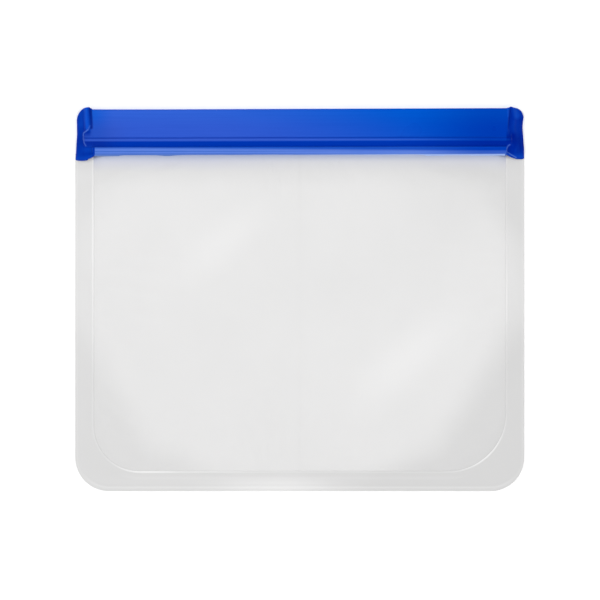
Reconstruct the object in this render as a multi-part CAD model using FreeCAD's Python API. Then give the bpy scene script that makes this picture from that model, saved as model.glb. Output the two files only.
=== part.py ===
import FreeCAD, Part
import math
import os

# A flat reusable food bag of frosted film with a blue press-to-close zip, lying on its back.
# +X is to the right along the zip, +Y towards the mouth, +Z up through the front film.
# The origin is on the table, under the middle of the bag. Lengths are in millimetres.

# The whole bag
WIDTH = 215.0
HEIGHT = 184.0
FILM = 0.4
PILLOW = 8.0

# Heat welds along the sides and the bottom
SIDE_WELD = 8.8
BOTTOM_WELD = 9.5
WELD_THICK = 0.7
CORNER = 16.0
INNER_CORNER = 27.0

# Room between what stays and what moves
GAP = 0.3

# The air pillow's flat top
TOP_HALF_WIDTH = 72.0
TOP_LOW = -60.0
TOP_HIGH = 40.0
TOP_CORNER = 18.0

# The zip: two wide strips, one behind the other, with two tracks between them
ZIP_LOW = 68.75
ZIP_HIGH = 90.8
LIP_ROOT = 78.1
BACK_TOP = 0.9
FRONT_UNDER = 2.6
FRONT_TOP = 3.5
SKIRT_LAP = 1.5
LIP_BEVEL = 0.25
TRACK_UPPER = 76.75
TRACK_LOWER = 72.15

# The back film's step up to the back strip
STEP_BELOW_MOUTH = 0.5
STEP_BELOW_ZIP = 0.25

# How far out towards the welds the front film's tongue reaches, past the pillow's flat top
TONGUE_SHARE = 0.7

# The front strip's pressed face, from the fold line under the lip down to the film
FOLD_Y = 77.2
FOLD_Z = 3.2
CREST_HIGH_Y = 76.9
CREST_MIDDLE_Y = 76.35
CREST_LOW_Y = 75.8
CREST_Z = 3.8
HOLLOW_HIGH_Y = 75.0
HOLLOW_MIDDLE_Y = 73.8
HOLLOW_LOW_Y = 72.7
HOLLOW_EDGE_Z = 3.15
HOLLOW_Z = 3.0
BAND_HIGH_Y = 72.3
BAND_MIDDLE_Y = 70.9
BAND_LOW_Y = 69.3
BAND_EDGE_Z = 3.55
BAND_Z = 3.85
SKIRT_Z = 3.2

# One track's bead and the channel it presses into
BEAD_STEM = 0.7
BEAD_HEAD = 1.3
BEAD_TIP = 0.5
BEAD_SHOULDER = 1.7
BEAD_WIDEST = 1.5
BEAD_END = 1.1
CHANNEL_ROOM = 1.9
CHANNEL_WALL = 0.5
SNAP_ROOM = 0.1
CHANNEL_MOUTH = BEAD_HEAD + SNAP_ROOM
CHANNEL_TOP = 2.3
CHANNEL_HOOK = 1.95

# The crushed and welded zip ends
TAB_CORNER = 5.0
TAB_INNER_Z = 3.3
TAB_MIDDLE_Z = 2.1
TAB_OUTER_Z = 1.6
TAB_PEAK = 2.2
TAB_FOOT = 3.2
TAB_FOOT_RISE = 0.8
TAB_BROW_DROP = 0.5
LEFT_TAB_LOW = 66.1
RIGHT_TAB_LOW = 66.9
LEFT_PEAK_DROP = 0.2
MOUTH = 66.0

# How far a cutting shape stands past what it cuts
PAST = 1.0

# Lines worked out from the sizes above
HALF_WIDTH = WIDTH / 2
LOW = -HEIGHT / 2
HIGH = HEIGHT / 2
WELD_X = HALF_WIDTH - SIDE_WELD
WELD_Y = LOW + BOTTOM_WELD
CORNER_TOP = WELD_Y + INNER_CORNER
HALF_ZIP = WELD_X - GAP


def point(x, y, z=0.0):
    return FreeCAD.Vector(x, y, z)


def line(start, end):
    return Part.LineSegment(start, end).toShape()


def arc(start, middle, end):
    return Part.Arc(start, middle, end).toShape()


def block(low, high):
    """A box between two opposite corners."""
    size = high - low
    return Part.makeBox(size.x, size.y, size.z, low)


def lifted(wire, low_z, high_z):
    """The flat wire made into a solid that stands between two heights."""
    face = Part.Face(wire)
    face.translate(point(0, 0, low_z))
    return face.extrude(point(0, 0, high_z - low_z))


def along_x(points, left, right):
    """A solid with a (y, z) outline, drawn out along the zip."""
    corners = [point(left, y, z) for y, z in points]
    face = Part.Face(Part.makePolygon(corners + corners[:1]))
    return face.extrude(point(right - left, 0, 0))


def corner_inset(radius):
    """How far in from both sides a round corner's middle lies."""
    return radius * (1 - math.sin(math.pi / 4))


def pouch_wire(half_width, low, high, corner, z=0.0):
    """A closed outline with round lower corners and square upper ones, at height z."""
    cut = corner_inset(corner)
    upper_left = point(-half_width, high, z)
    upper_right = point(half_width, high, z)
    left_start = point(-half_width, low + corner, z)
    left_middle = point(-half_width + cut, low + cut, z)
    left_end = point(-half_width + corner, low, z)
    right_start = point(half_width - corner, low, z)
    right_middle = point(half_width - cut, low + cut, z)
    right_end = point(half_width, low + corner, z)
    return Part.Wire([
        line(upper_left, left_start),
        arc(left_start, left_middle, left_end),
        line(left_end, right_start),
        arc(right_start, right_middle, right_end),
        line(right_end, upper_right),
        line(upper_right, upper_left),
    ])


def inner_field(shrink, low_z, high_z):
    """Everything inside the welds, drawn in by a small distance, below the mouth's top."""
    wire = pouch_wire(WELD_X - shrink, WELD_Y + shrink, HIGH, INNER_CORNER - shrink)
    return lifted(wire, low_z, high_z)


def back_film():
    """The flat back wall, whose top edge steps up to lie against the back strip's inner side."""
    step_start = MOUTH - STEP_BELOW_MOUTH
    step_end = ZIP_LOW - STEP_BELOW_ZIP
    top = ZIP_LOW + SKIRT_LAP
    step = BACK_TOP - FILM
    wall = along_x(
        [
            (LOW, 0),
            (step_start, 0),
            (step_end, step),
            (top, step),
            (top, BACK_TOP),
            (step_end, BACK_TOP),
            (step_start, FILM),
            (LOW, FILM),
        ],
        -HALF_WIDTH,
        HALF_WIDTH,
    )
    return wall.common(inner_field(0.0, 0, FRONT_TOP))


def weld_field():
    """The whole fused border, both sides and the bottom, with its open inner region cut out."""
    outer = lifted(pouch_wire(HALF_WIDTH, LOW, HIGH, CORNER), 0, WELD_THICK)
    return outer.cut(inner_field(0.0, -PAST, FRONT_TOP))


def bottom_weld():
    """The fused bottom edge with both round corners."""
    return weld_field().common(
        block(point(-WIDTH, LOW, 0), point(WIDTH, CORNER_TOP, WELD_THICK)))


def side_weld(side, top):
    """The straight fused edge on one side, from the bottom corner up to the zip's end."""
    inner = min(side * WELD_X, side * WIDTH)
    outer = max(side * WELD_X, side * WIDTH)
    return weld_field().common(
        block(point(inner, CORNER_TOP, 0), point(outer, top, WELD_THICK)))


def pillow_solid():
    """The space under the front film, as a shallow frustum cut off at the mouth."""
    base_z = WELD_THICK
    fall = (PILLOW - base_z) / (PILLOW - FRONT_UNDER - FILM)
    far_edge = TOP_HIGH + (MOUTH - TOP_HIGH) * fall
    base = pouch_wire(
        WELD_X - GAP, WELD_Y + GAP, far_edge, INNER_CORNER - GAP, base_z)
    top = pouch_wire(TOP_HALF_WIDTH, TOP_LOW, TOP_HIGH, TOP_CORNER, PILLOW)
    frustum = Part.makeLoft([base, top], True, True)
    return frustum.common(block(point(-WIDTH, LOW, 0), point(WIDTH, MOUTH, PILLOW)))


def front_film():
    """The front wall as a thin shell over the air, with the tongue that is welded in the strip."""
    outside = pillow_solid()
    inside = outside.copy()
    inside.translate(point(0, 0, -FILM))
    past_mouth = inside.copy()
    past_mouth.translate(point(0, GAP, 0))
    shell = outside.cut(inside).cut(past_mouth)
    half = TOP_HALF_WIDTH + (WELD_X - TOP_HALF_WIDTH) * TONGUE_SHARE
    tongue = block(
        point(-half, MOUTH, FRONT_UNDER),
        point(half, ZIP_LOW + SKIRT_LAP, FRONT_UNDER + FILM))
    return shell.fuse(tongue).removeSplitter()


def front_zip_strip():
    """The front strip's pressed face: fold line, crest, hollow, and rounded lower band."""
    left = -HALF_ZIP

    def at(y, z):
        return point(left, y, z)

    seat = ZIP_LOW + SKIRT_LAP
    outline = Part.Wire([
        line(at(LIP_ROOT, FRONT_UNDER), at(LIP_ROOT, FRONT_TOP)),
        line(at(LIP_ROOT, FRONT_TOP), at(FOLD_Y, FOLD_Z)),
        line(at(FOLD_Y, FOLD_Z), at(CREST_HIGH_Y, FRONT_TOP)),
        arc(at(CREST_HIGH_Y, FRONT_TOP), at(CREST_MIDDLE_Y, CREST_Z), at(CREST_LOW_Y, FRONT_TOP)),
        line(at(CREST_LOW_Y, FRONT_TOP), at(HOLLOW_HIGH_Y, HOLLOW_EDGE_Z)),
        arc(at(HOLLOW_HIGH_Y, HOLLOW_EDGE_Z), at(HOLLOW_MIDDLE_Y, HOLLOW_Z), at(HOLLOW_LOW_Y, HOLLOW_EDGE_Z)),
        line(at(HOLLOW_LOW_Y, HOLLOW_EDGE_Z), at(BAND_HIGH_Y, BAND_EDGE_Z)),
        arc(at(BAND_HIGH_Y, BAND_EDGE_Z), at(BAND_MIDDLE_Y, BAND_Z), at(BAND_LOW_Y, BAND_EDGE_Z)),
        line(at(BAND_LOW_Y, BAND_EDGE_Z), at(ZIP_LOW, SKIRT_Z)),
        line(at(ZIP_LOW, SKIRT_Z), at(ZIP_LOW, FRONT_UNDER + FILM)),
        line(at(ZIP_LOW, FRONT_UNDER + FILM), at(seat, FRONT_UNDER + FILM)),
        line(at(seat, FRONT_UNDER + FILM), at(seat, FRONT_UNDER)),
        line(at(seat, FRONT_UNDER), at(LIP_ROOT, FRONT_UNDER)),
    ])
    return Part.Face(outline).extrude(point(2 * HALF_ZIP, 0, 0))


def front_lip():
    """The front grip flange, which bends up along the fold line."""
    root = LIP_ROOT + GAP
    return along_x(
        [
            (root, FRONT_UNDER),
            (ZIP_HIGH - LIP_BEVEL, FRONT_UNDER),
            (ZIP_HIGH, FRONT_UNDER + LIP_BEVEL),
            (ZIP_HIGH, FRONT_TOP - LIP_BEVEL),
            (ZIP_HIGH - LIP_BEVEL, FRONT_TOP),
            (root, FRONT_TOP),
        ],
        -HALF_ZIP,
        HALF_ZIP,
    )


def back_zip_strip():
    """The back strip below its grip flange, rebated for the back film."""
    seat = ZIP_LOW + SKIRT_LAP
    skirt = BACK_TOP - FILM
    return along_x(
        [
            (ZIP_LOW, 0),
            (LIP_ROOT, 0),
            (LIP_ROOT, BACK_TOP),
            (seat, BACK_TOP),
            (seat, skirt),
            (ZIP_LOW, skirt),
        ],
        -WELD_X,
        WELD_X,
    )


def back_lip():
    """The back grip flange, level with the front one."""
    return along_x(
        [
            (LIP_ROOT, 0),
            (ZIP_HIGH - LIP_BEVEL, 0),
            (ZIP_HIGH, LIP_BEVEL),
            (ZIP_HIGH, BACK_TOP - LIP_BEVEL),
            (ZIP_HIGH - LIP_BEVEL, BACK_TOP),
            (LIP_ROOT, BACK_TOP),
        ],
        -WELD_X,
        WELD_X,
    )


def zip_bead(track):
    """The arrow-headed rib under the front strip, along one track."""
    stem = BEAD_STEM / 2
    head = BEAD_HEAD / 2
    tip = BEAD_TIP / 2
    return along_x(
        [
            (track - stem, FRONT_UNDER),
            (track - stem, BEAD_SHOULDER),
            (track - head, BEAD_WIDEST),
            (track - tip, BEAD_END),
            (track + tip, BEAD_END),
            (track + head, BEAD_WIDEST),
            (track + stem, BEAD_SHOULDER),
            (track + stem, FRONT_UNDER),
        ],
        -HALF_ZIP,
        HALF_ZIP,
    )


def zip_channel(track):
    """The two hooked jaws on the back strip that hold one bead."""
    room = CHANNEL_ROOM / 2
    outer = room + CHANNEL_WALL
    mouth = CHANNEL_MOUTH / 2
    jaws = []
    for side in (-1, 1):
        jaws.append(along_x(
            [
                (track + side * room, BACK_TOP),
                (track + side * outer, BACK_TOP),
                (track + side * outer, CHANNEL_TOP),
                (track + side * mouth, CHANNEL_TOP),
                (track + side * mouth, CHANNEL_HOOK),
                (track + side * room, CHANNEL_HOOK),
            ],
            -WELD_X,
            WELD_X,
        ))
    return Part.makeCompound(jaws)


def end_weld(side, low, peak):
    """The zip's crushed end: both strips melted together into a tab, thin at its outer edge."""
    outer = side * HALF_WIDTH
    inner = side * WELD_X
    shoulder = side * (HALF_WIDTH - TAB_CORNER)
    cut = corner_inset(TAB_CORNER)
    brow = peak - TAB_BROW_DROP
    bend = point(side * (HALF_WIDTH - cut), brow - cut)
    wire = Part.Wire([
        line(point(inner, low + TAB_FOOT_RISE), point(inner + side * TAB_FOOT, low)),
        line(point(inner + side * TAB_FOOT, low), point(outer, low)),
        line(point(outer, low), point(outer, brow - TAB_CORNER)),
        arc(point(outer, brow - TAB_CORNER), bend, point(shoulder, brow)),
        line(point(shoulder, brow), point(inner + side * TAB_PEAK, peak)),
        line(point(inner + side * TAB_PEAK, peak), point(inner, ZIP_HIGH)),
        line(point(inner, ZIP_HIGH), point(inner, low + TAB_FOOT_RISE)),
    ])
    section = [
        point(inner, LOW, 0),
        point(outer, LOW, 0),
        point(outer, LOW, TAB_OUTER_Z),
        point(inner + side * TAB_FOOT, LOW, TAB_MIDDLE_Z),
        point(inner, LOW, TAB_INNER_Z),
    ]
    wedge = Part.Face(Part.makePolygon(section + section[:1])).extrude(point(0, HEIGHT, 0))
    return lifted(wire, 0, TAB_INNER_Z + PAST).common(wedge)


def save(name, shape):
    """Writes one STEP file, once every solid in it is found to be valid."""
    for solid in shape.Solids:
        if not solid.isValid():
            raise ValueError(name + " holds a solid that isn't valid")
    shape.exportStep("parts/" + name + ".step")
    print(name, len(shape.Solids), "solids", round(shape.Volume, 1), "mm3")


os.makedirs("parts", exist_ok=True)
NODES = {
    "back_film": back_film(),
    "left_side_weld": side_weld(-1, LEFT_TAB_LOW),
    "right_side_weld": side_weld(1, RIGHT_TAB_LOW),
    "bottom_weld": bottom_weld(),
    "back_zip_strip": back_zip_strip(),
    "back_lip": back_lip(),
    "upper_zip_channel": zip_channel(TRACK_UPPER),
    "lower_zip_channel": zip_channel(TRACK_LOWER),
    "left_end_weld": end_weld(-1, LEFT_TAB_LOW, HIGH - LEFT_PEAK_DROP),
    "right_end_weld": end_weld(1, RIGHT_TAB_LOW, HIGH),
    "front_film": front_film(),
    "front_zip_strip": front_zip_strip(),
    "upper_zip_bead": zip_bead(TRACK_UPPER),
    "lower_zip_bead": zip_bead(TRACK_LOWER),
    "front_lip": front_lip(),
}
for node, solid in NODES.items():
    save(node, solid)
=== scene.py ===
"""A flat reusable food bag of frosted film with a blue press-to-close zip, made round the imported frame."""

import math

import bpy
import numpy as np
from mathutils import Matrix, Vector


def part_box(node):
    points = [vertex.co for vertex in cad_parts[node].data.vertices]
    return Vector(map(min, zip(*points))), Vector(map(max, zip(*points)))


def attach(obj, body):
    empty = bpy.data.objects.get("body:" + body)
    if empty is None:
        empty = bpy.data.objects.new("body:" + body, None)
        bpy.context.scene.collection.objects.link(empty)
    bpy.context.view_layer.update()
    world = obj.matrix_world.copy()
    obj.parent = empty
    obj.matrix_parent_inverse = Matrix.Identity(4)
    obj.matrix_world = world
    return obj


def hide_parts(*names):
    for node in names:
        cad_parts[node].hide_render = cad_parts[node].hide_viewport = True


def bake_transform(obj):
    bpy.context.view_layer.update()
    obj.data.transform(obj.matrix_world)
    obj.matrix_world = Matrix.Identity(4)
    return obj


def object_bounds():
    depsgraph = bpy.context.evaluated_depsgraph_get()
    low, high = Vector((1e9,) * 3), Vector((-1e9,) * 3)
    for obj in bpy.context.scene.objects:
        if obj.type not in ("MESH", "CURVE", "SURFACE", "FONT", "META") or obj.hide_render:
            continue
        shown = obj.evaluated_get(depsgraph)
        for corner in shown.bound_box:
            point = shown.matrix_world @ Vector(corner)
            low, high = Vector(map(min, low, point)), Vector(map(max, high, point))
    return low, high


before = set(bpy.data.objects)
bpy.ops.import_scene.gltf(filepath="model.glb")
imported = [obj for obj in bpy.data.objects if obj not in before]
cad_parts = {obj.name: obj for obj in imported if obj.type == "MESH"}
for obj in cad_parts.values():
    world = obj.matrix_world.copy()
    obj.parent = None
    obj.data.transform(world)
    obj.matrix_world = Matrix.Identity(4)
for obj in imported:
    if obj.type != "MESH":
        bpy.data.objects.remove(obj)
cad_low, cad_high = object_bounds()

MM = 0.001

# ---- Lines of the bag, read from the frame -------------------------------------------------

LEFT = cad_low.x
RIGHT = cad_high.x
LOW = cad_low.y
PILLOW_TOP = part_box("front_film")[1].z
WELD_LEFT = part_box("back_film")[0].x
WELD_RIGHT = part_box("back_film")[1].x
WELD_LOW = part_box("back_film")[0].y
WELD_TOP_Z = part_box("bottom_weld")[1].z
LEFT_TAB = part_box("left_end_weld")
RIGHT_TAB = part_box("right_end_weld")
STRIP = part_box("front_zip_strip")
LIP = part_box("front_lip")
FOLD = (STRIP[1].y + LIP[0].y) / 2
UPPER_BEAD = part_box("upper_zip_bead")
LOWER_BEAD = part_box("lower_zip_bead")

# ---- Sizes that only the finish needs ------------------------------------------------------

FILM = 0.4 * MM
OUTER_CORNER = 16 * MM
LEFT_INNER_CORNER = 22 * MM
RIGHT_INNER_CORNER = 28 * MM

# The section of the front strip, measured up from its low edge.
HEM = 0.42 * MM
BAND_TOP = 3.7 * MM
GROOVE_LOW = 4.2 * MM
GROOVE_HIGH = 6.6 * MM
CREST_FOOT = 7.2 * MM
CREST = 7.5 * MM
FOLD_LINE = 8.4 * MM

# The zip rises this much for each step to the right, and its low edge only by this share of it.
ZIP_TILT = 0.0035
LOW_EDGE_TILT = 0.5

# Where the lip is split into a middle piece and an end piece, out from the middle.
MOUTH_MIDDLE = 30 * MM

# How finely pieces are cut, and how far the crushed ends stand past the film on the underside.
CORNER_STEPS = 24
FILM_CELL = 2.2 * MM
ZIP_CELL = 2.5 * MM
STRIP_CELL = 0.2 * MM
LIP_CELL = 0.8 * MM
BEAD_CELL = 4 * MM
TAB_CELL = 0.22 * MM
TAB_SINK = 0.04 * MM
TAB_WIDTH = 8.8 * MM
CUT_TOLERANCE = 1e-7
ON_SURFACE = 0.01 * MM

BACK, FRONT, LIP_BODY = "back_wall", "front_wall", "lip"


# ---- Small tools ---------------------------------------------------------------------------

def deselect():
    if bpy.context.mode != "OBJECT":
        bpy.ops.object.mode_set(mode="OBJECT")
    bpy.ops.object.select_all(action="DESELECT")


def pick(obj):
    deselect()
    obj.select_set(True)
    bpy.context.view_layer.objects.active = obj


def settle(obj):
    """Puts the object's place, turn and size into its mesh."""
    pick(obj)
    bpy.ops.object.transform_apply(location=True, rotation=True, scale=True)


def named(name):
    obj = bpy.context.object
    obj.name = name
    obj.data.name = name
    return obj


def flat_face(name, low, high, z):
    """One face between two corners, at one height."""
    deselect()
    middle = ((low[0] + high[0]) / 2, (low[1] + high[1]) / 2, z)
    bpy.ops.mesh.primitive_plane_add(size=1, location=middle)
    obj = named(name)
    obj.scale = (high[0] - low[0], high[1] - low[1], 1)
    settle(obj)
    return obj


def slab(name, low, high):
    """A block between two opposite corners, to be cut and shaped."""
    deselect()
    low, high = Vector(low), Vector(high)
    bpy.ops.mesh.primitive_cube_add(size=1, location=(low + high) / 2)
    obj = named(name)
    obj.scale = high - low
    settle(obj)
    return obj


def cut(obj, axis, places):
    """Cuts the whole mesh across one axis at each place."""
    pick(obj)
    bpy.ops.object.mode_set(mode="EDIT")
    bpy.ops.mesh.select_mode(type="FACE")
    for place in places:
        centre, normal = [0.0, 0.0, 0.0], [0.0, 0.0, 0.0]
        centre[axis], normal[axis] = place, 1.0
        bpy.ops.mesh.select_all(action="SELECT")
        bpy.ops.mesh.bisect(plane_co=centre, plane_no=normal, threshold=CUT_TOLERANCE)
    bpy.ops.object.mode_set(mode="OBJECT")


def between(low, high, step):
    """Evenly spaced places strictly inside a span, no more than one step apart."""
    count = max(1, math.ceil((high - low) / step))
    return [low + (high - low) * k / count for k in range(1, count)]


def points_of(obj):
    values = np.empty(len(obj.data.vertices) * 3)
    obj.data.vertices.foreach_get("co", values)
    return values.reshape(-1, 3)


def put_points(obj, points):
    obj.data.vertices.foreach_set("co", points.ravel())
    obj.data.update()


def select_vertices(obj, chosen):
    """Leaves exactly the chosen vertices selected, ready for edit mode."""
    pick(obj)
    bpy.ops.object.mode_set(mode="EDIT")
    bpy.ops.mesh.select_mode(type="VERT")
    bpy.ops.mesh.select_all(action="DESELECT")
    bpy.ops.object.mode_set(mode="OBJECT")
    obj.data.vertices.foreach_set("select", np.asarray(chosen, bool))


def round_corner(obj, x, y, radius):
    """Rounds the outline's corner at (x, y)."""
    points = points_of(obj)
    near = np.hypot(points[:, 0] - x, points[:, 1] - y) < ON_SURFACE
    select_vertices(obj, near)
    bpy.ops.object.mode_set(mode="EDIT")
    kind = "VERTICES" if near.sum() == 1 else "EDGES"
    bpy.ops.mesh.bevel(offset=radius, segments=CORNER_STEPS, affect=kind)
    bpy.ops.object.mode_set(mode="OBJECT")


def give(obj, kind, **settings):
    """Adds a modifier with these settings and applies it."""
    pick(obj)
    modifier = obj.modifiers.new(kind.lower(), kind)
    for key, value in settings.items():
        setattr(modifier, key, value)
    bpy.ops.object.modifier_apply(modifier=modifier.name)


def smooth(obj, degrees=35):
    pick(obj)
    bpy.ops.object.shade_smooth_by_angle(angle=math.radians(degrees))


def copy_of(obj, name):
    twin = obj.copy()
    twin.data = obj.data.copy()
    twin.name = name
    twin.data.name = name
    bpy.context.collection.objects.link(twin)
    return twin


def keep_side(obj, x, side):
    """Cuts the piece at x, keeps the part on that side and closes the cut."""
    pick(obj)
    bpy.ops.object.mode_set(mode="EDIT")
    bpy.ops.mesh.select_all(action="SELECT")
    bpy.ops.mesh.bisect(
        plane_co=(x, 0, 0),
        plane_no=(1, 0, 0),
        use_fill=True,
        clear_inner=side > 0,
        clear_outer=side < 0,
        threshold=CUT_TOLERANCE,
    )
    bpy.ops.object.mode_set(mode="OBJECT")


def ramp(values, low, high):
    """0 before low, 1 after high, with a soft start and end."""
    share = np.clip((values - low) / (high - low), 0, 1)
    return share * share * (3 - 2 * share)


def swell(values, centre, half_width):
    """A soft hump that is 1 at its centre and 0 past its half width."""
    share = np.clip(np.abs(values - centre) / half_width, 0, 1)
    return np.cos(share * math.pi / 2) ** 2


def attribute(obj, name, values):
    layer = obj.data.attributes.new(name, "FLOAT", "POINT")
    layer.data.foreach_set("value", np.asarray(values, np.float32))


# ---- Shader building -----------------------------------------------------------------------

def material(name):
    made = bpy.data.materials.new(name)
    made.use_nodes = True
    nodes = made.node_tree.nodes
    return made, nodes["Principled BSDF"]


def node(tree, kind, **settings):
    made = tree.nodes.new(kind)
    for key, value in settings.items():
        setattr(made, key, value)
    return made


def join(tree, source, target):
    tree.links.new(source, target)


def put(tree, value, socket):
    """Links a socket, or sets a plain value on it."""
    if isinstance(value, bpy.types.NodeSocket):
        tree.links.new(value, socket)
    else:
        socket.default_value = value


def maths(tree, operation, first, second=0.0, clamp=False):
    made = node(tree, "ShaderNodeMath", operation=operation, use_clamp=clamp)
    put(tree, first, made.inputs[0])
    put(tree, second, made.inputs[1])
    return made.outputs[0]


def times(tree, first, second):
    return maths(tree, "MULTIPLY", first, second)


def plus(tree, first, second):
    return maths(tree, "ADD", first, second)


def minus(tree, first, second):
    return maths(tree, "SUBTRACT", first, second)


def spread(tree, value, low, high, to_low=0.0, to_high=1.0, soft=True):
    """Maps a value from one span to another, held at its ends."""
    made = node(tree, "ShaderNodeMapRange")
    made.interpolation_type = "SMOOTHSTEP" if soft else "LINEAR"
    made.clamp = True
    put(tree, value, made.inputs["Value"])
    for key, number in zip(("From Min", "From Max", "To Min", "To Max"), (low, high, to_low, to_high)):
        put(tree, number, made.inputs[key])
    return made.outputs["Result"]


def mixed(tree, mask, first, second, blend="MIX"):
    """A colour mix, by a mask."""
    made = node(tree, "ShaderNodeMix", data_type="RGBA", blend_type=blend)
    put(tree, mask, made.inputs["Factor"])
    put(tree, first, made.inputs["A"])
    put(tree, second, made.inputs["B"])
    return made.outputs["Result"]


def cloud(tree, where, scale, detail=3.0, roughness=0.5):
    made = node(tree, "ShaderNodeTexNoise")
    join(tree, where, made.inputs["Vector"])
    put(tree, scale, made.inputs["Scale"])
    made.inputs["Detail"].default_value = detail
    made.inputs["Roughness"].default_value = roughness
    return made.outputs["Fac"]


def stretched(tree, where, amounts, shift=(0, 0, 0)):
    made = node(tree, "ShaderNodeMapping")
    join(tree, where, made.inputs["Vector"])
    made.inputs["Scale"].default_value = amounts
    made.inputs["Location"].default_value = shift
    return made.outputs["Vector"]


def band(tree, value, centre, half_width):
    """A soft line mask round one place."""
    away = maths(tree, "ABSOLUTE", minus(tree, value, centre))
    return spread(tree, away, 0.0, half_width, 1.0, 0.0)


def group(name, inputs, outputs):
    tree = bpy.data.node_groups.new(name, "ShaderNodeTree")
    for label, kind, value in inputs:
        socket = tree.interface.new_socket(name=label, in_out="INPUT", socket_type=kind)
        if value is not None:
            socket.default_value = value
    for label, kind in outputs:
        tree.interface.new_socket(name=label, in_out="OUTPUT", socket_type=kind)
    return tree, tree.nodes.new("NodeGroupInput"), tree.nodes.new("NodeGroupOutput")


def use(tree, shared, where, **values):
    made = node(tree, "ShaderNodeGroup", node_tree=shared)
    join(tree, where, made.inputs["Vector"])
    for key, value in values.items():
        made.inputs[key].default_value = value
    return made


def tone(red, green, blue):
    return (red, green, blue, 1.0)


def scaled(colour, share):
    return tuple(part * share for part in colour[:3]) + (1.0,)


# Base colours. The film's and the weld's are darkened or lightened by shares where they are used, as painted
# shade and light.
WHITE = tone(1.0, 1.0, 1.0)
FILM_TONE = tone(0.838, 0.836, 0.836)
# Painted shadow and blue light from the strip, on the film just below it.
FILM_ZIP_SHADOW = tone(0.44, 0.50, 0.68)
WELD_TONE = tone(0.695, 0.693, 0.692)
# Painted highlight and painted shade for thin lines along the weld's ridges.
RIDGE_HIGHLIGHT = tone(0.84, 0.84, 0.84)
RIDGE_SHADE = tone(0.55, 0.55, 0.545)

# Zip blues. Most are painted light and shade: lighter on the left and at the top, a painted reflection,
# painted highlights on the crest and low band, painted shade in the fold, the groove and towards the right.
FLANGE_BLUE = tone(0.0, 0.060, 0.455)
FLANGE_RIGHT_SHADE = tone(0.0, 0.031, 0.350)
FLANGE_FOLD_SHADOW = tone(0.025, 0.057, 0.36)
FLANGE_TOP_LIGHT = tone(0.0, 0.014, 0.03)
LEFT_REFLECTION = tone(0.026, 0.016, 0.02)
STREAK_BLUE = tone(0.0, 0.03, 0.33)
FOLD_SHADE_BLUE = tone(0.0, 0.030, 0.335)
CREST_HIGHLIGHT_BLUE = tone(0.034, 0.088, 0.50)
GROOVE_SHADE_BLUE = tone(0.0, 0.027, 0.345)
GROOVE_RIGHT_SHADE = tone(0.0, 0.015, 0.27)
GROOVE_LEFT_SHADE = tone(0.002, 0.019, 0.275)
BAND_BLUE = tone(0.008, 0.062, 0.42)
BAND_RIGHT_SHADE = tone(0.0, 0.036, 0.375)
BAND_HIGHLIGHT = tone(0.095, 0.180, 0.58)
BAND_RIGHT_HIGHLIGHT = tone(0.030, 0.085, 0.43)
BAND_CLOUD = tone(0.04, 0.12, 0.52)
BAND_STREAK = tone(0.030, 0.100, 0.42)
BAND_LEFT_END = tone(0.0, 0.025, 0.325)
HEM_BLUE = tone(0.10, 0.17, 0.42)
HEM_RIGHT_BLUE = tone(0.30, 0.40, 0.68)

# The right crushed end is painted darker than the left, as painted shade.
CRUSHED_LEFT = (tone(0.0, 0.016, 0.270), tone(0.0, 0.021, 0.300))
CRUSHED_RIGHT = (tone(0.0, 0.012, 0.245), tone(0.0, 0.016, 0.275))
CRUSHED_HIGHLIGHT = tone(0.004, 0.060, 0.46)
CRUSHED_CREASE_SHADE = tone(0.0, 0.004, 0.19)
CRUSHED_PALE = tone(0.075, 0.17, 0.58)
BLUE_SHINE = tone(0.0, 0.28, 1.0)
FLOOR_TONES = (tone(0.96, 0.96, 0.96), tone(0.98, 0.98, 0.98))


def frost_group():
    """The film's frost: cloudy density, a fine pebbled grain and a slow ripple."""
    tree, given, out = group(
        "film_frost",
        [
            ("Vector", "NodeSocketVector", None),
            ("Cloud Scale", "NodeSocketFloat", 18.0),
            ("Grain Scale", "NodeSocketFloat", 2600.0),
            ("Ripple Scale", "NodeSocketFloat", 60.0),
        ],
        [("Cloud", "NodeSocketFloat"), ("Grain", "NodeSocketFloat"), ("Height", "NodeSocketFloat")],
    )
    where = given.outputs["Vector"]
    clouds = cloud(tree, where, given.outputs["Cloud Scale"], 2.0)
    grain = cloud(tree, where, given.outputs["Grain Scale"], 2.0)
    ripple = cloud(tree, where, given.outputs["Ripple Scale"], 1.0)
    height = plus(tree, ripple, times(tree, grain, 0.12))
    join(tree, clouds, out.inputs["Cloud"])
    join(tree, grain, out.inputs["Grain"])
    join(tree, height, out.inputs["Height"])
    return tree


# The film's painted soft shade and painted highlights: how strong the shade is, left and right, and where
# the painted light sits on the pillow.
SHADE_LEFT_SHIFT = 3 * MM
SHADE_STRAY = 0.35
SHADE_BELOW = (0.7, 1.0)
SHADE_ABOVE = (0.35, 0.75)
SHADE_BESIDE = 0.15
SHADE_PATCH = 0.28
GLEAM_ACROSS = (0.67, 0.74)
LEFT_GLEAM = 0.7


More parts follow.
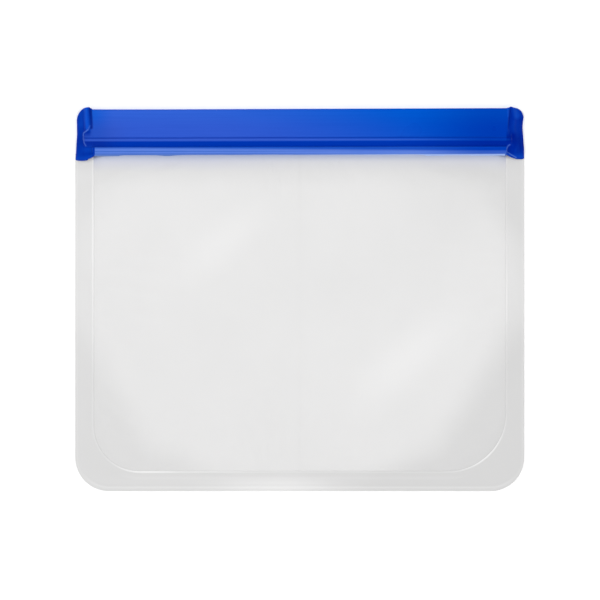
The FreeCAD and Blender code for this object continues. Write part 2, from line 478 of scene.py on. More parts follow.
def soft_shade_group():
    """Painted shade for the films, darker outside an oval middle, and two painted highlight bands across the
    pillow.
    """
    tree, given, out = group(
        "soft_shade",
        [
            ("Vector", "NodeSocketVector", None),
            ("Half Width", "NodeSocketFloat", 0.112),
            ("Half Height", "NodeSocketFloat", 0.092),
            ("Start", "NodeSocketFloat", 0.74),
            ("End", "NodeSocketFloat", 1.15),
        ],
        [("Shade", "NodeSocketFloat"), ("Gleam", "NodeSocketFloat")],
    )
    where = given.outputs["Vector"]
    xyz = parts_of(tree, where)
    wide = maths(tree, "DIVIDE", plus(tree, xyz["X"], SHADE_LEFT_SHIFT), given.outputs["Half Width"])
    tall = maths(tree, "DIVIDE", xyz["Y"], given.outputs["Half Height"])
    oval = plus(tree, maths(tree, "POWER", maths(tree, "ABSOLUTE", wide), 2.0),
                maths(tree, "POWER", maths(tree, "ABSOLUTE", tall), 2.0))
    stray = times(tree, minus(tree, cloud(tree, where, 22.0, 1.0), 0.5), SHADE_STRAY)
    beside = spread(tree, maths(tree, "ABSOLUTE", xyz["X"]), 65 * MM, 95 * MM)
    beside = times(tree, beside, spread(tree, xyz["Y"], -30 * MM, 0.0, SHADE_BESIDE, 0.0))
    oval = plus(tree, oval, beside)
    edge = spread(tree, plus(tree, oval, stray), given.outputs["Start"], given.outputs["End"])
    to_right = spread(tree, xyz["X"], -60 * MM, 60 * MM)
    to_top = spread(tree, xyz["Y"], -45 * MM, 45 * MM)
    below = spread(tree, to_right, 0.0, 1.0, *SHADE_BELOW, False)
    above = spread(tree, to_right, 0.0, 1.0, *SHADE_ABOVE, False)
    lower = times(tree, below, minus(tree, 1.0, to_top))
    weight = plus(tree, lower, times(tree, above, to_top))
    # A painted shade patch on the upper right.
    shade_patch = band(tree, xyz["X"], 67 * MM, 32 * MM)
    shade_patch = times(tree, shade_patch, spread(tree, xyz["Y"], 15 * MM, 45 * MM))
    shade = times(tree, edge, weight)
    shade = maths(tree, "ADD", shade, times(tree, shade_patch, SHADE_PATCH), True)
    join(tree, shade, out.inputs["Shade"])
    # Gleam: two soft diagonal bands of painted highlight.
    less, more = GLEAM_ACROSS
    across = minus(tree, times(tree, xyz["X"], less), times(tree, xyz["Y"], more))
    along = plus(tree, times(tree, xyz["X"], more), times(tree, xyz["Y"], less))
    right = times(tree, band(tree, across, 55 * MM, 17 * MM), band(tree, along, 18 * MM, 52 * MM))
    left = times(tree, band(tree, across, -45 * MM, 14 * MM), band(tree, along, -7 * MM, 40 * MM))
    join(tree, plus(tree, right, times(tree, left, LEFT_GLEAM)), out.inputs["Gleam"])
    return tree


def die_line_group():
    """Extruded plastic: faint streaks along the zip, with slow changes of shine."""
    tree, given, out = group(
        "die_lines",
        [("Vector", "NodeSocketVector", None), ("Line Scale", "NodeSocketFloat", 1400.0)],
        [("Lines", "NodeSocketFloat"), ("Shine", "NodeSocketFloat"), ("Dust", "NodeSocketFloat")],
    )
    where = given.outputs["Vector"]
    along = stretched(tree, where, (0.02, 1.0, 1.0))
    lines = cloud(tree, along, given.outputs["Line Scale"], 2.0)
    shine = cloud(tree, where, 45.0, 2.0)
    dust = cloud(tree, where, 1800.0, 1.0)
    join(tree, lines, out.inputs["Lines"])
    join(tree, shine, out.inputs["Shine"])
    join(tree, dust, out.inputs["Dust"])
    return tree


def object_place(tree):
    return node(tree, "ShaderNodeTexCoord").outputs["Object"]


def parts_of(tree, where):
    made = node(tree, "ShaderNodeSeparateXYZ")
    join(tree, where, made.inputs[0])
    return made.outputs


def painted(tree, name):
    """A value laid on the mesh, point by point."""
    return node(tree, "ShaderNodeAttribute", attribute_name=name).outputs["Fac"]


def bumped(tree, height, strength, distance):
    made = node(tree, "ShaderNodeBump")
    made.inputs["Strength"].default_value = strength
    made.inputs["Distance"].default_value = distance
    join(tree, height, made.inputs["Height"])
    return made.outputs["Normal"]


def film_material(name, frost, soft_shade, density):
    """Frosted film: half clear, slightly cloudy, with painted soft shade and highlights, and darkened and
    tinted blue where it meets the blue strip, as painted shadow and blue light from the strip.
    """
    made, shader = material(name)
    tree = made.node_tree
    where = object_place(tree)
    xyz = parts_of(tree, where)
    look = use(tree, frost, where)
    light = use(tree, soft_shade, where)
    base = FILM_TONE
    colour = mixed(tree, spread(tree, look.outputs["Cloud"], 0.2, 0.8), scaled(base, 0.985), base)
    # Painted shade outside the oval middle, then the painted highlight bands.
    colour = mixed(tree, light.outputs["Shade"], colour, scaled(base, 0.885))
    colour = mixed(tree, light.outputs["Gleam"], colour, scaled(base, 1.045))
    edge = STRIP[0].y
    # Painted shadow below the zip, stronger on the left and tinted blue, then a blue painted tint right at
    # the strip.
    shade_below_zip = spread(tree, xyz["Y"], edge - 18 * MM, edge, 0.0, 0.45)
    colour = mixed(tree, shade_below_zip, colour, scaled(base, 0.80))
    blue_shade_by_zip = plus(tree, spread(tree, xyz["X"], -50 * MM, 5 * MM, 1.0, 0.45),
                spread(tree, xyz["X"], 55 * MM, 90 * MM, 0.0, 0.25))
    blue_shade_by_zip = times(tree, blue_shade_by_zip, spread(tree, xyz["Y"], edge - 9 * MM, edge - 1 * MM))
    colour = mixed(tree, blue_shade_by_zip, colour, tone(base[0] * 0.80, base[1] * 0.815, base[2] * 0.93))
    near_zip = spread(tree, xyz["Y"], edge - 5.5 * MM, edge - 0.2 * MM)
    tint = maths(tree, "POWER", near_zip, 2.6)
    colour = mixed(tree, times(tree, tint, 0.8), colour, FILM_ZIP_SHADOW)
    join(tree, colour, shader.inputs["Base Color"])
    clouds = spread(tree, look.outputs["Cloud"], 0.2, 0.8, density - 0.01, density + 0.01)
    join(tree, clouds, shader.inputs["Alpha"])
    join(tree, spread(tree, look.outputs["Grain"], 0.3, 0.7, 0.36, 0.5), shader.inputs["Roughness"])
    join(tree, bumped(tree, look.outputs["Height"], 0.25, 0.4 * MM), shader.inputs["Normal"])
    shader.inputs["Specular IOR Level"].default_value = 0.35
    return made


def thin_line(tree, colour, distance, place, half_width, amount, shade):
    """Mixes one thin line into a colour, at a distance from an edge."""
    mask = times(tree, band(tree, distance, place, half_width), amount)
    return mixed(tree, mask, colour, shade)


def weld_material(frost, soft_shade):
    """Melted film: denser, with pale painted highlight lines and dark painted shade lines along the ridges
    at both rims of the weld.
    """
    made, shader = material("welded_film")
    tree = made.node_tree
    where = object_place(tree)
    look = use(tree, frost, where)
    light = use(tree, soft_shade, where)
    light.inputs["Half Width"].default_value = 114 * MM
    light.inputs["Half Height"].default_value = 84 * MM
    light.inputs["Start"].default_value = 0.80
    light.inputs["End"].default_value = 1.12
    inner = painted(tree, "from_inner")
    outer = painted(tree, "from_outer")
    rim = painted(tree, "rim_line")
    base = painted(tree, "bottom_run")
    plain = WELD_TONE
    xyz = parts_of(tree, where)
    # The sides are painted a little darker than the bottom run, as painted shade.
    side = mixed(tree, base, scaled(plain, 0.962), plain)
    colour = mixed(tree, spread(tree, look.outputs["Cloud"], 0.2, 0.8), side, scaled(plain, 0.99))
    # Painted light along the middle of the bottom weld, and painted shadow just below the crushed ends.
    bottom_light = times(tree, band(tree, xyz["X"], -12 * MM, 52 * MM), base)
    colour = mixed(tree, bottom_light, colour, scaled(plain, 1.05))
    tab_shadow = spread(tree, xyz["Y"], STRIP[0].y - 11 * MM, STRIP[0].y - 1 * MM)
    colour = mixed(tree, tab_shadow, colour, scaled(plain, 0.87))
    # Painted soft shade, kept off the painted light at the bottom.
    shade = times(tree, light.outputs["Shade"], minus(tree, 1.0, bottom_light))
    colour = mixed(tree, shade, colour, scaled(plain, 0.87))
    # A painted shade patch on the right side weld.
    right_side_shade = band(tree, xyz["Y"], -13 * MM, 27 * MM)
    right_side_shade = times(tree, right_side_shade, spread(tree, xyz["X"], 90 * MM, 100 * MM))
    colour = mixed(tree, times(tree, right_side_shade, 0.3), colour, scaled(plain, 0.86))
    # Painted highlight on the raised inner rim, then painted highlight and shade lines along the bottom
    # weld's ridges.
    colour = thin_line(tree, colour, inner, 0.35 * MM, 0.8 * MM, rim, RIDGE_HIGHLIGHT)
    bottom_lines = (
        (inner, 1.2, 0.6, 0.25, RIDGE_SHADE),
        (inner, 3.2, 1.3, 0.18, RIDGE_HIGHLIGHT),
        (outer, 2.9, 0.9, 0.15, RIDGE_SHADE),
        (outer, 1.7, 0.8, 0.22, RIDGE_HIGHLIGHT),
        (outer, 0.6, 0.6, 0.25, RIDGE_SHADE),
    )
    for edge, place, half_width, share, tint in bottom_lines:
        amount = times(tree, base, share)
        colour = thin_line(tree, colour, edge, place * MM, half_width * MM, amount, tint)
    colour = thin_line(tree, colour, outer, 0.9 * MM, 0.4 * MM, 0.12, RIDGE_HIGHLIGHT)
    join(tree, colour, shader.inputs["Base Color"])
    join(tree, spread(tree, look.outputs["Cloud"], 0.2, 0.8, 0.86, 0.89), shader.inputs["Alpha"])
    join(tree, spread(tree, look.outputs["Grain"], 0.3, 0.7, 0.30, 0.42), shader.inputs["Roughness"])
    join(tree, bumped(tree, look.outputs["Height"], 0.2, 0.3 * MM), shader.inputs["Normal"])
    shader.inputs["Specular IOR Level"].default_value = 0.4
    return made


def zip_blue_group(die_lines):
    """The zip's blue, with painted light: a pale painted reflection on the left, painted shade along the
    groove and towards the right, painted highlights on the crest and the low band, and thin lines in the low
    band.
    """
    tree, given, out = group(
        "zip_blue",
        [("Vector", "NodeSocketVector", None)],
        [("Colour", "NodeSocketColor"), ("Shine", "NodeSocketFloat"), ("Height", "NodeSocketFloat")],
    )
    where = given.outputs["Vector"]
    streaks = use(tree, die_lines, where)
    slow = spread(tree, streaks.outputs["Shine"], 0.2, 0.8)
    xyz = parts_of(tree, where)
    x = maths(tree, "DIVIDE", xyz["X"], MM)
    level = minus(tree, xyz["Y"], times(tree, xyz["X"], ZIP_TILT * 0.6))
    up = maths(tree, "DIVIDE", minus(tree, level, STRIP[0].y), MM)
    # Painted shade towards the right, painted light near the top, and a pale painted reflection slanting
    # across the left.
    to_right = spread(tree, x, 48.0, 94.0)
    flange = mixed(tree, to_right, FLANGE_BLUE, FLANGE_RIGHT_SHADE)
    near_top = spread(tree, up, 12.0, 21.5)
    flange = mixed(tree, near_top, flange, FLANGE_TOP_LIGHT, "ADD")
    slant = plus(tree, x, times(tree, minus(tree, up, 10.0), 2.0))
    painted_reflection = spread(tree, slant, -45.0, 80.0, 1.0, 0.0)
    painted_reflection = times(tree, painted_reflection, spread(tree, x, -99.0, -88.0, 0.3, 1.0))
    flange = mixed(tree, painted_reflection, flange, LEFT_REFLECTION, "ADD")
    faint = times(tree, spread(tree, streaks.outputs["Lines"], 0.4, 0.7), 0.10)
    flange = mixed(tree, faint, flange, STREAK_BLUE)
    # Painted shadow of the crushed end's fold on the flange beside the left end.
    corner = spread(tree, x, -97.0, -78.0, 0.5, 0.0)
    corner = times(tree, corner, spread(tree, up, 10.0, 20.0, 1.0, 0.0))
    flange = mixed(tree, corner, flange, FLANGE_FOLD_SHADOW)
    # Painted shade along the fold line, and a painted highlight on the crest.
    fold_shade = times(tree, band(tree, up, 8.25, 0.5), 0.75)
    flange = mixed(tree, fold_shade, flange, FOLD_SHADE_BLUE)
    crest_highlight = times(tree, band(tree, up, 7.25, 0.55), spread(tree, x, 35.0, 92.0, 0.8, 0.0))
    colour = mixed(tree, crest_highlight, flange, CREST_HIGHLIGHT_BLUE)
    # Painted shade in the groove between the two tracks, darker to the right and at the left end.
    groove = times(tree, spread(tree, up, 3.6, 4.1), spread(tree, up, 6.4, 7.0, 1.0, 0.0))
    groove_shade = mixed(tree, to_right, GROOVE_SHADE_BLUE, GROOVE_RIGHT_SHADE)
    groove_shade = mixed(tree, spread(tree, x, -98.0, -84.0, 1.0, 0.0), groove_shade, GROOVE_LEFT_SHADE)
    colour = mixed(tree, groove, colour, groove_shade)
    # The low band: painted shade towards the right, and a painted highlight along its rounded lower part,
    # varied slowly.
    low = spread(tree, up, 3.65, 4.15, 1.0, 0.0)
    to_end = spread(tree, x, 52.0, 90.0, 1.0, 0.0)
    dim = mixed(tree, to_end, BAND_RIGHT_SHADE, BAND_BLUE)
    band_highlight = mixed(tree, to_end, BAND_RIGHT_HIGHLIGHT, BAND_HIGHLIGHT)
    band_highlight = mixed(tree, times(tree, slow, 0.25), band_highlight, BAND_CLOUD)
    full = spread(tree, x, -75.0, 88.0, 2.7, 1.1, False)
    none = spread(tree, x, -75.0, 88.0, 4.1, 2.5, False)
    plain = mixed(tree, spread(tree, up, full, none, 1.0, 0.0), dim, band_highlight)
    to_left = spread(tree, x, -70.0, 40.0, 1.0, 0.2)
    for place, width, amount in ((3.3, 0.35, 0.4), (1.75, 0.42, 0.85), (0.65, 0.4, 0.7)):
        amount = times(tree, to_left, amount)
        plain = thin_line(tree, plain, up, place, width, amount, BAND_STREAK)
    plain = mixed(tree, spread(tree, x, -98.0, -97.7, 1.0, 0.0), plain, BAND_LEFT_END)
    colour = mixed(tree, low, colour, plain)
    hem_tone = mixed(tree, spread(tree, x, -30.0, 60.0), HEM_BLUE, HEM_RIGHT_BLUE)
    hem = times(tree, spread(tree, up, 0.0, 0.55, 1.0, 0.0),
                spread(tree, maths(tree, "ABSOLUTE", x), 97.8, 98.4, 1.0, 0.0))
    colour = mixed(tree, hem, colour, hem_tone)
    join(tree, colour, out.inputs["Colour"])
    join(tree, streaks.outputs["Shine"], out.inputs["Shine"])
    dust = times(tree, streaks.outputs["Dust"], 0.3)
    join(tree, plus(tree, streaks.outputs["Lines"], dust), out.inputs["Height"])
    return tree


def zip_material(zip_blue):
    made, shader = material("blue_zip_plastic")
    tree = made.node_tree
    blue = use(tree, zip_blue, object_place(tree))
    join(tree, blue.outputs["Colour"], shader.inputs["Base Color"])
    join(tree, spread(tree, blue.outputs["Shine"], 0.0, 1.0, 0.24, 0.34, False), shader.inputs["Roughness"])
    join(tree, bumped(tree, blue.outputs["Height"], 0.18, 0.1 * MM), shader.inputs["Normal"])
    shader.inputs["Specular IOR Level"].default_value = 0.3
    shader.inputs["Specular Tint"].default_value = BLUE_SHINE
    return made


def crushed_material(zip_blue):
    """The same blue where it was melted and crushed, a darker blue, with pale lines along its raised flash,
    painted highlights, and painted shade in its creases and towards the right.
    """
    made, shader = material("crushed_blue_plastic")
    tree = made.node_tree
    where = object_place(tree)
    blue = use(tree, zip_blue, where)
    wrinkles = cloud(tree, stretched(tree, where, (1.0, 0.45, 1.0)), 420.0, 2.0)
    left_blue = mixed(tree, spread(tree, wrinkles, 0.35, 0.65), *CRUSHED_LEFT)
    right_blue = mixed(tree, spread(tree, wrinkles, 0.35, 0.65), *CRUSHED_RIGHT)
    # Painted shade towards the right.
    to_right = spread(tree, parts_of(tree, where)["X"], -50 * MM, 50 * MM)
    plain = mixed(tree, to_right, left_blue, right_blue)
    reach = painted(tree, "melted")
    colour = mixed(tree, reach, blue.outputs["Colour"], plain)
    # Painted highlights along the ridge and low edge, then painted shade in the creases and the groove's
    # run.
    tab_highlight = painted(tree, "tab_highlight")
    colour = mixed(tree, tab_highlight, colour, CRUSHED_HIGHLIGHT)
    crease = painted(tree, "crease")
    colour = mixed(tree, crease, colour, CRUSHED_CREASE_SHADE)
    pale = painted(tree, "pale")
    colour = mixed(tree, pale, colour, CRUSHED_PALE)
    join(tree, colour, shader.inputs["Base Color"])
    join(tree, spread(tree, blue.outputs["Shine"], 0.3, 0.7, 0.28, 0.42), shader.inputs["Roughness"])
    join(tree, bumped(tree, wrinkles, 0.3, 0.3 * MM), shader.inputs["Normal"])
    shader.inputs["Specular IOR Level"].default_value = 0.22
    shader.inputs["Specular Tint"].default_value = BLUE_SHINE
    return made


def floor_material():
    made, shader = material("pale_floor")
    tree = made.node_tree
    where = object_place(tree)
    faint = cloud(tree, where, 30.0, 2.0)
    colour = mixed(tree, spread(tree, faint, 0.3, 0.7), *FLOOR_TONES)
    join(tree, colour, shader.inputs["Base Color"])
    shader.inputs["Roughness"].default_value = 0.9
    shader.inputs["Specular IOR Level"].default_value = 0.0
    return made


# ---- Film ----------------------------------------------------------------------------------

# How the film fills out: soft sheet, held round its rim, with a little pressure inside.
AIR = {
    "quality": 6,
    "mass": 0.1,
    "tension_stiffness": 25,
    "compression_stiffness": 25,
    "shear_stiffness": 10,
    "bending_stiffness": 0.6,
    "tension_damping": 15,
    "compression_damping": 15,
    "use_pressure": True,
    "uniform_pressure_force": 20.0,
    "shrink_min": -0.005,
}
AIR_STEPS = 24


def film_outline(name, top, z):
    """A flat film panel inside the welds, with its two round lower corners."""
    panel = flat_face(name, (WELD_LEFT, WELD_LOW), (WELD_RIGHT, top), z)
    round_corner(panel, WELD_LEFT, WELD_LOW, LEFT_INNER_CORNER)
    round_corner(panel, WELD_RIGHT, WELD_LOW, RIGHT_INNER_CORNER)
    cut(panel, 0, between(WELD_LEFT, 0, FILM_CELL) + [0.0] + between(0, WELD_RIGHT, FILM_CELL))
    cut(panel, 1, between(WELD_LOW, top, FILM_CELL))
    return panel


def rim_of(obj):
    """Which vertices lie on an open edge of the panel."""
    uses = {}
    for face in obj.data.polygons:
        for key in face.edge_keys:
            uses[key] = uses.get(key, 0) + 1
    rim = np.zeros(len(obj.data.vertices), bool)
    for (a, b), count in uses.items():
        if count == 1:
            rim[a] = rim[b] = True
    return rim


def seat_height(x, y):
    """Where the front film's edge sits: on the weld, rising to the strip's underside at the zip."""
    across = ramp(WELD_RIGHT - np.abs(x), 0.0, 4.5 * MM)
    along = ramp(y, STRIP[0].y - 22 * MM, STRIP[0].y)
    low = WELD_TOP_Z - 0.08 * MM
    return low + (STRIP[0].z + FILM / 2 - low) * across * along


def blown_film():
    """The front film, pinned round its rim and filled out by a little air."""
    top = STRIP[0].y + 1.5 * MM
    panel = film_outline("front_film_sheet", top, WELD_TOP_Z)
    points = points_of(panel)
    rest = seat_height(points[:, 0], points[:, 1])
    points[:, 2] = rest
    put_points(panel, points)
    rim = rim_of(panel) | (points[:, 1] > STRIP[0].y - 0.5 * MM)
    pins = panel.vertex_groups.new(name="welded_rim")
    pins.add([int(k) for k in np.flatnonzero(rim)], 1.0, "REPLACE")
    pick(panel)
    cloth = panel.modifiers.new("air", "CLOTH")
    for key, value in AIR.items():
        setattr(cloth.settings, key, value)
    cloth.settings.vertex_group_mass = pins.name
    cloth.settings.effector_weights.gravity = 0.0
    cloth.collision_settings.use_collision = False
    cloth.point_cache.frame_start = 1
    cloth.point_cache.frame_end = AIR_STEPS
    for step in range(1, AIR_STEPS + 1):
        bpy.context.scene.frame_set(step)
    bpy.ops.object.modifier_apply(modifier=cloth.name)
    bpy.context.scene.frame_set(1)
    blown = points_of(panel)
    rise = blown[:, 2] - rest
    room = PILLOW_TOP - 0.2 * MM - float(rest[np.argmax(rise)])
    blown[:, 2] = rest + rise * room / max(float(rise.max()), 1e-6)
    put_points(panel, blown)
    inside = panel.vertex_groups.new(name="inside")
    inside.add([int(k) for k in np.flatnonzero(~rim)], 1.0, "REPLACE")
    give(panel, "SMOOTH", factor=0.5, iterations=4, vertex_group="inside")
    panel.vertex_groups.clear()
    return panel


def front_film_halves(look):
    sheet = blown_film()
    give(sheet, "SUBSURF", levels=1, render_levels=1, boundary_smooth="PRESERVE_CORNERS")
    give(sheet, "SOLIDIFY", thickness=FILM, offset=0.0)
    halves = []
    for side, name in ((-1, "front_film_left"), (1, "front_film_right")):
        half = copy_of(sheet, name)
        keep_side(half, 0.0, side)
        smooth(half, 60)
        half.data.materials.append(look)
        halves.append(half)
    bpy.data.objects.remove(sheet)
    return halves


def back_film_sheet(look):
    """The back wall lies flat but for slow waves no higher than its own thickness."""
    top = STRIP[0].y + 1.2 * MM
    sheet = film_outline("back_film_sheet", top, FILM / 2)
    points = points_of(sheet)
    x, y = points[:, 0], points[:, 1]
    inside = ramp(WELD_RIGHT - np.abs(x), 0, 15 * MM) * ramp(y, WELD_LOW, WELD_LOW + 15 * MM)
    waves = 0.5 + 0.25 * np.sin(x * 70 + 1.3 * np.sin(y * 45)) + 0.25 * np.sin(y * 90 + x * 30)
    step = ramp(y, STRIP[0].y - 3 * MM, STRIP[0].y - 0.3 * MM)
    points[:, 2] += 0.35 * MM * inside * waves * (1 - step) + 0.5 * MM * step
    put_points(sheet, points)
    give(sheet, "SOLIDIFY", thickness=FILM, offset=0.0)
    smooth(sheet, 60)
    sheet.data.materials.append(look)
    return sheet


# ---- Welds ---------------------------------------------------------------------------------

def distance_to(points, chain):
    """Each point's distance, seen from above, to a chain of straight runs."""
    best = np.full(len(points), 1e9)
    for start, end in zip(chain[:-1], chain[1:]):
        run = end - start
        share = np.clip(((points - start) @ run) / max(run @ run, 1e-18), 0, 1)
        best = np.minimum(best, np.linalg.norm(points - start - share[:, None] * run, axis=1))
    return best


def border_chain(left, low, right, top, left_corner, right_corner):
    """The points of a U-shaped outline, from its upper left end round to its upper right end."""
    turns = np.linspace(0, math.pi / 2, CORNER_STEPS + 1)
    chain = [(left, top)]
    for a in turns:
        chain.append((left + left_corner * (1 - math.cos(a)), low + left_corner * (1 - math.sin(a))))
    for a in turns:
        chain.append((right - right_corner * (1 - math.sin(a)), low + right_corner * (1 - math.cos(a))))
    chain.append((right, top))
    return np.array(chain)


# Where the weld's inner rim stands proud and carries a painted highlight: x, y and reach in millimetres, and
# how much.
RIM_LIGHTS = [
    (-98, 25, 70, 0.45),
    (-74, -83, 22, 0.6),
    (-52, -83, 50, 0.25),
    (90, -76, 24, 0.6),
    (98.7, 0, 22, 0.3),
]


def welded_border(look):
    """The two films melted into one band along both sides and the bottom."""
    top = STRIP[0].y + 0.75 * MM
    outer = flat_face("welded_border", (LEFT, LOW), (RIGHT, top), WELD_TOP_Z)
    round_corner(outer, LEFT, LOW, OUTER_CORNER)
    round_corner(outer, RIGHT, LOW, OUTER_CORNER)
    inner = flat_face("weld_inner", (WELD_LEFT, WELD_LOW), (WELD_RIGHT, top), WELD_TOP_Z)
    round_corner(inner, WELD_LEFT, WELD_LOW, LEFT_INNER_CORNER)
    round_corner(inner, WELD_RIGHT, WELD_LOW, RIGHT_INNER_CORNER)
    deselect()
    inner.select_set(True)
    outer.select_set(True)
    bpy.context.view_layer.objects.active = outer
    bpy.ops.object.join()
    bpy.ops.object.mode_set(mode="EDIT")
    bpy.ops.mesh.select_all(action="SELECT")
    bpy.ops.mesh.delete(type="ONLY_FACE")
    bpy.ops.object.mode_set(mode="OBJECT")
    points = points_of(outer)
    select_vertices(outer, points[:, 1] > top - ON_SURFACE)
    bpy.ops.object.mode_set(mode="EDIT")
    bpy.ops.mesh.select_mode(type="EDGE")
    bpy.ops.mesh.delete(type="EDGE")
    bpy.ops.object.mode_set(mode="OBJECT")
    mesh = outer.data
    mesh.update()
    points = points_of(outer)
    for edge in mesh.edges:
        a, b = points[edge.vertices[0]], points[edge.vertices[1]]
        edge.select = bool(np.linalg.norm(a - b) > 20 * MM)
    bpy.ops.object.mode_set(mode="EDIT")
    bpy.ops.mesh.subdivide(number_cuts=60)
    bpy.ops.mesh.select_all(action="SELECT")
    bpy.ops.mesh.bridge_edge_loops(number_cuts=24, interpolation="LINEAR")
    bpy.ops.object.mode_set(mode="OBJECT")
    give(outer, "SOLIDIFY", thickness=WELD_TOP_Z, offset=-1.0)
    pick(outer)
    bpy.ops.object.mode_set(mode="EDIT")
    bpy.ops.mesh.select_all(action="SELECT")
    bpy.ops.mesh.normals_make_consistent(inside=False)
    bpy.ops.object.mode_set(mode="OBJECT")
    points = points_of(outer)
    points[:, 2] -= points[:, 2].min()
    flat = points[:, :2]
    from_inner = distance_to(flat, border_chain(
        WELD_LEFT, WELD_LOW, WELD_RIGHT, top, LEFT_INNER_CORNER, RIGHT_INNER_CORNER))
    from_outer = distance_to(flat, border_chain(LEFT, LOW, RIGHT, top, OUTER_CORNER, OUTER_CORNER))
    upper = points[:, 2] > WELD_TOP_Z / 2
    bottom_run = ramp(-flat[:, 1], -LOW - 9 * MM, -LOW - 3 * MM)
    rim_line = np.full(len(points), 0.14)
    for x, y, reach, amount in RIM_LIGHTS:
        spot = np.hypot(flat[:, 0] - x * MM, flat[:, 1] - y * MM)
        rim_line += amount * swell(spot, 0.0, reach * MM)
    rise = 0.16 * MM * swell(from_inner, 0.4 * MM, 0.9 * MM) * (0.4 + rim_line)
    rise -= 0.10 * MM * ramp(-from_outer, -1.2 * MM, -0.8 * MM) * bottom_run
    rise -= 0.12 * MM * ramp(-from_outer, -0.4 * MM, 0)
    wave = np.sin(flat[:, 1] * 160 + flat[:, 0] * 40) * np.sin(flat[:, 0] * 130)
    rise += 0.03 * MM * wave * ramp(from_outer, 0, 3 * MM)
    points[upper, 2] += rise[upper]
    put_points(outer, points)
    attribute(outer, "from_inner", from_inner)
    attribute(outer, "from_outer", from_outer)
    attribute(outer, "rim_line", np.clip(rim_line, 0, 1))
    attribute(outer, "bottom_run", bottom_run)
    smooth(outer, 50)
    outer.data.materials.append(look)
    return outer


# ---- Zip -----------------------------------------------------------------------------------

def strip_height(y):
    """The front strip's outer face, from the skirt at the film up to the grip lip."""
    up = y - STRIP[0].y
    flat = LIP[1].z
    height = np.full_like(y, flat)
    height += 0.30 * MM * swell(up, CREST, 0.85 * MM)
    height -= 0.25 * MM * swell(up, FOLD_LINE, 0.45 * MM)
    slope = ramp(up, 4.0 * MM, 7.0 * MM)
    groove = ramp(up, BAND_TOP, GROOVE_LOW) * (1 - ramp(up, GROOVE_HIGH, CREST_FOOT))
    height -= groove * (0.62 - 0.45 * slope) * MM
    low_band = 1 - ramp(up, BAND_TOP, GROOVE_LOW)
    arch = np.clip(1 - ((up - 2.4 * MM) / (2.6 * MM)) ** 2, 0, 1)
    height += low_band * (0.30 * arch - 0.02) * MM
    height -= 0.10 * MM * swell(up, 2.15 * MM, 0.35 * MM)
    height -= 0.35 * MM * (1 - ramp(up, 0.0, 0.5 * MM))
    return height


def long_piece(name, low, high, top_cells, length_cell):
    """A bar along the zip, cut finely enough to be pressed to its section."""
    bar = slab(name, low, high)
    cut(bar, 0, between(low[0], high[0], length_cell))
    cut(bar, 1, between(low[1], high[1], top_cells))
    return bar


def tilt_share(y):
    """How much of the zip's tilt is taken up at this height: all of it at the lip."""
    return np.interp(y, [STRIP[0].y, LIP[1].y], [LOW_EDGE_TILT, 1.0])


def tilted(points):
    """Turns a zip piece very slightly, so that its right end sits higher."""
    points[:, 1] += ZIP_TILT * tilt_share(points[:, 1]) * points[:, 0]
    return points


def zip_half(name, side, look):
    inner_x, outer_x = 0.0, side * WELD_RIGHT
    low = (min(inner_x, outer_x), STRIP[0].y - HEM, STRIP[0].z)
    high = (max(inner_x, outer_x), FOLD, LIP[1].z)
    bar = long_piece(name, low, high, STRIP_CELL, ZIP_CELL)
    points = points_of(bar)
    upper = points[:, 2] > LIP[1].z - ON_SURFACE
    y = points[:, 1]
    waver = 0.06 * MM * np.sin(points[:, 0] * 75) + 0.04 * MM * np.sin(points[:, 0] * 190 + 1)
    points[upper, 2] = strip_height(y[upper] + waver[upper])
    seat = (~upper) & (y < STRIP[0].y + 1.5 * MM)
    points[seat, 2] += FILM
    put_points(bar, tilted(points))
    smooth(bar, 40)
    bar.data.materials.append(look)
    return bar


def bead_half(name, box, side, look):
    """A half of one arrow-headed rib, cut and drawn in to its section."""
    x_low, x_high = sorted((0.0, side * box[1].x))
    bar = slab(name, (x_low, box[0].y, box[0].z), (x_high, box[1].y, box[1].z))
    cut(bar, 2, [box[0].z + 0.4 * MM, box[0].z + 0.6 * MM])
    cut(bar, 0, between(x_low, x_high, BEAD_CELL))
    points = points_of(bar)
    middle = (box[0].y + box[1].y) / 2
    half = np.interp(
        points[:, 2] - box[0].z,
        [0.0, 0.4 * MM, 0.6 * MM, box[1].z - box[0].z],
        [0.25 * MM, 0.65 * MM, 0.35 * MM, 0.35 * MM],
    )
    points[:, 1] = middle + np.sign(points[:, 1] - middle) * half
    put_points(bar, points)
    smooth(bar, 30)
    bar.data.materials.append(look)
    return bar


def lip_height(x, y):
    """The lip is flat but for a slow waver, and rolls over slightly at its free edge."""
    up = (y - FOLD) / (LIP[1].y - FOLD)
    waver = 0.06 * MM * np.sin(x * 31 + 0.6) * up
    edge = 0.25 * MM * ramp(y, LIP[1].y - 0.6 * MM, LIP[1].y)
    return LIP[1].z + waver - edge


def lip_piece(name, x_from, x_to, look):
    low = (min(x_from, x_to), FOLD, LIP[0].z)
    high = (max(x_from, x_to), LIP[1].y, LIP[1].z)
    bar = long_piece(name, low, high, LIP_CELL, ZIP_CELL)
    cut(bar, 1, [LIP[1].y - k * STRIP_CELL for k in (1, 2, 3)])
    points = points_of(bar)
    upper = points[:, 2] > LIP[1].z - ON_SURFACE
    points[upper, 2] = lip_height(points[upper, 0], points[upper, 1])
    put_points(bar, tilted(points))
    smooth(bar, 40)
    bar.data.materials.append(look)
    return bar


# ---- Crushed zip ends ----------------------------------------------------------------------

def by_steps(values, places, amounts):
    """A value that follows a few given steps, in millimetres."""
    return np.interp(values / MM, places, amounts) * MM


def path_mask(out, y, path, half_width):
    """1 on a path of (out, y) points in millimetres, softly 0 past its half width."""
    flat = np.column_stack([out, y])
    away = distance_to(flat, [np.array(point) * MM for point in path])
    return swell(away, 0.0, half_width)


